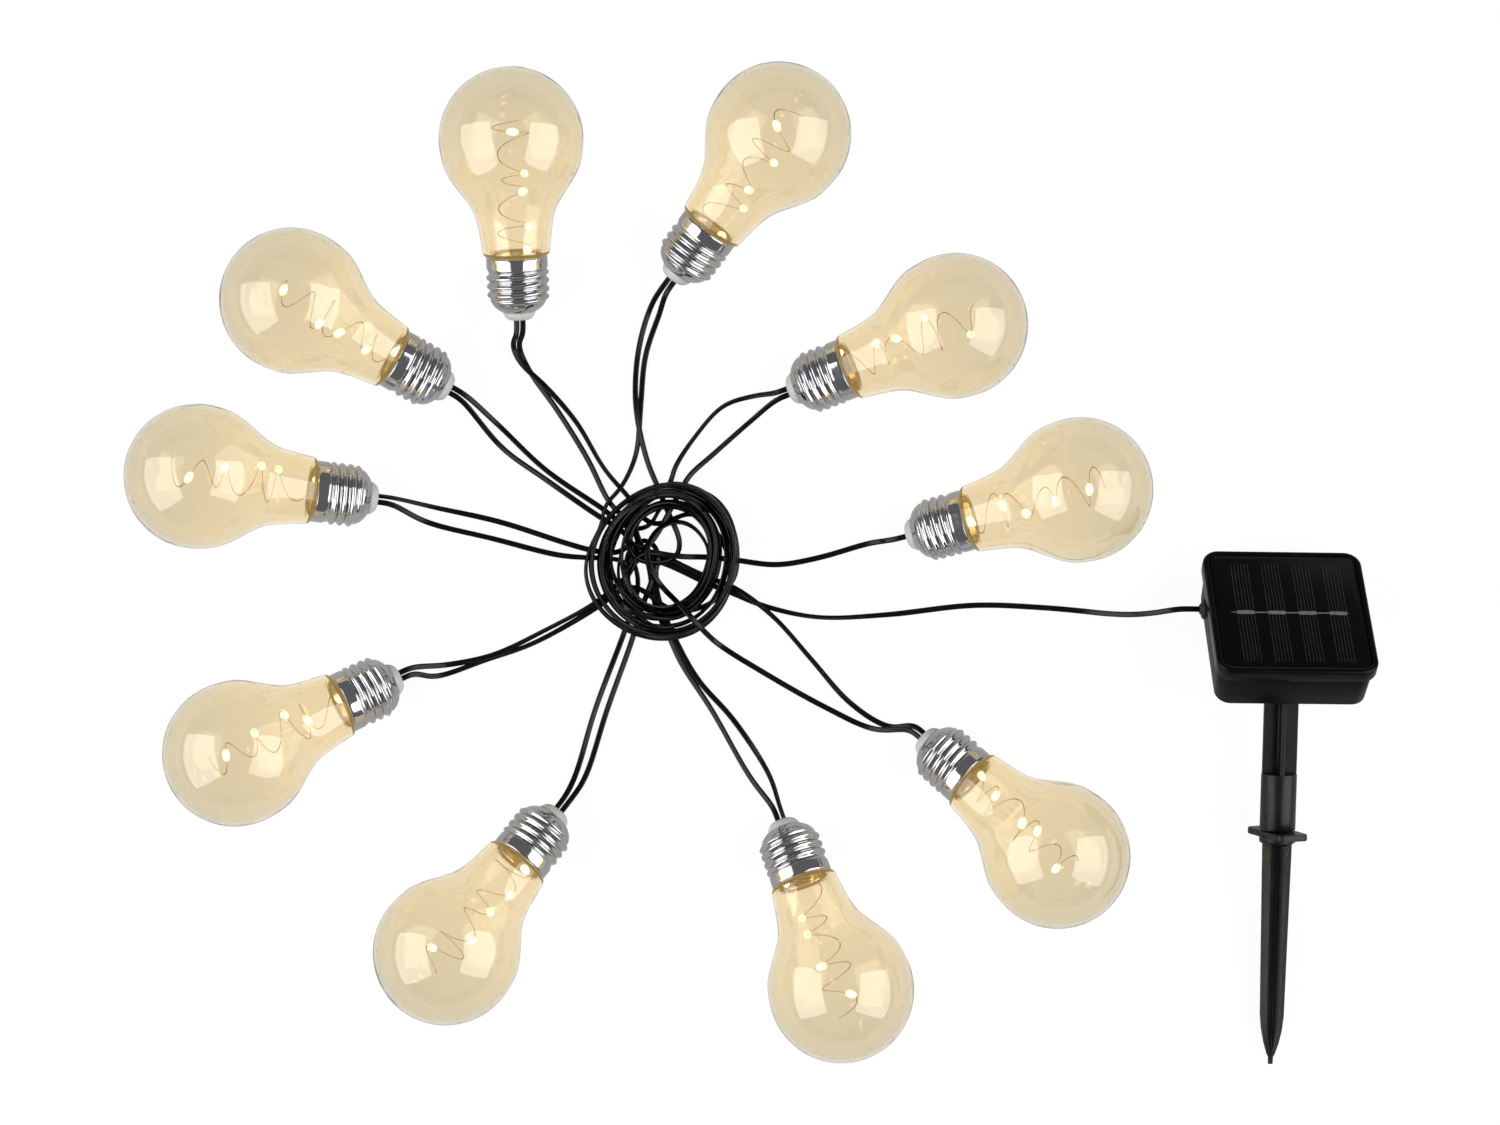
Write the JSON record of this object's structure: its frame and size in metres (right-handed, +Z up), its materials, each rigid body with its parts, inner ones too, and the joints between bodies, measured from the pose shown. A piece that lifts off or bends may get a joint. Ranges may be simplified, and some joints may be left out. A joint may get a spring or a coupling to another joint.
{
  "type": "solar_string_lights",
  "caption": "Solar festoon string lights: clear amber globe bulbs on a coiled black cord, with a solar box on a ground stake",
  "frame": {"origin": "On the surface the set lies on, at the centre of the footprint of its bulbs and its solar box.", "axes": "+Z up from the surface. +X to the picture's right, from the bulbs towards the solar box. +Y away from the solar box's stake, towards the picture's top."},
  "size_m": [0.5133, 0.4154, 0.0622],
  "materials": {
    "amber_clear_plastic": "gloss",
    "chromed_plastic": "gloss",
    "white_plastic": "satin",
    "copper_wire": "satin",
    "black_cord": "satin",
    "gloss_black_plastic": "gloss",
    "satin_black_plastic": "satin",
    "solar_laminate": "gloss",
    "black_rubber": "matte",
    "plated_steel": "satin",
    "battery_sleeve": "satin",
    "circuit_board": "satin"
  },
  "bodies": {
    "lights_and_solar_box": {"globe_1": "amber_clear_plastic", "globe_2": "amber_clear_plastic", "globe_3": "amber_clear_plastic", "globe_4": "amber_clear_plastic", "globe_5": "amber_clear_plastic", "globe_6": "amber_clear_plastic", "globe_7": "amber_clear_plastic", "globe_8": "amber_clear_plastic", "globe_9": "amber_clear_plastic", "globe_10": "amber_clear_plastic", "screw_cap_1": "chromed_plastic", "screw_cap_2": "chromed_plastic", "screw_cap_3": "chromed_plastic", "screw_cap_4": "chromed_plastic", "screw_cap_5": "chromed_plastic", "screw_cap_6": "chromed_plastic", "screw_cap_7": "chromed_plastic", "screw_cap_8": "chromed_plastic", "screw_cap_9": "chromed_plastic", "screw_cap_10": "chromed_plastic", "cord_plug_1": "white_plastic", "cord_plug_2": "white_plastic", "cord_plug_3": "white_plastic", "cord_plug_4": "white_plastic", "cord_plug_5": "white_plastic", "cord_plug_6": "white_plastic", "cord_plug_7": "white_plastic", "cord_plug_8": "white_plastic", "cord_plug_9": "white_plastic", "cord_plug_10": "white_plastic", "led_wire_1": "copper_wire", "led_wire_2": "copper_wire", "led_wire_3": "copper_wire", "led_wire_4": "copper_wire", "led_wire_5": "copper_wire", "led_wire_6": "copper_wire", "led_wire_7": "copper_wire", "led_wire_8": "copper_wire", "led_wire_9": "copper_wire", "led_wire_10": "copper_wire", "cord_coil": "black_cord", "string_cord": "black_cord", "lead_cord": "black_cord", "panel_cover": "gloss_black_plastic", "solar_plate": "solar_laminate", "back_case": "satin_black_plastic", "case_seal": "black_rubber", "battery": "battery_sleeve", "battery_contact_minus": "plated_steel", "battery_contact_plus": "plated_steel", "circuit_board": "circuit_board", "cable_gland": "satin_black_plastic", "case_screw_1": "plated_steel", "case_screw_2": "plated_steel", "case_screw_3": "plated_steel", "case_screw_4": "plated_steel"},
    "pole": {"stake_pole": "satin_black_plastic"},
    "spike": {"ground_spike": "satin_black_plastic"},
    "button": {"power_button": "black_rubber"}
  },
  "joints": [
    {"name": "pole_pull_out", "type": "slide", "parent": "lights_and_solar_box", "child": "pole", "axis": [-0.0184, -0.9913, -0.1303], "range_m": [0, 0.009]},
    {"name": "spike_pull_out", "type": "slide", "parent": "pole", "child": "spike", "axis": [-0.0184, -0.9913, -0.1303], "range_m": [0, 0.015]},
    {"name": "button_press", "type": "slide", "parent": "lights_and_solar_box", "child": "button", "axis": [0.0534, 0.6449, 0.7624], "range_m": [0, 0.001], "stiffness_N_per_m": 300}
  ]
}
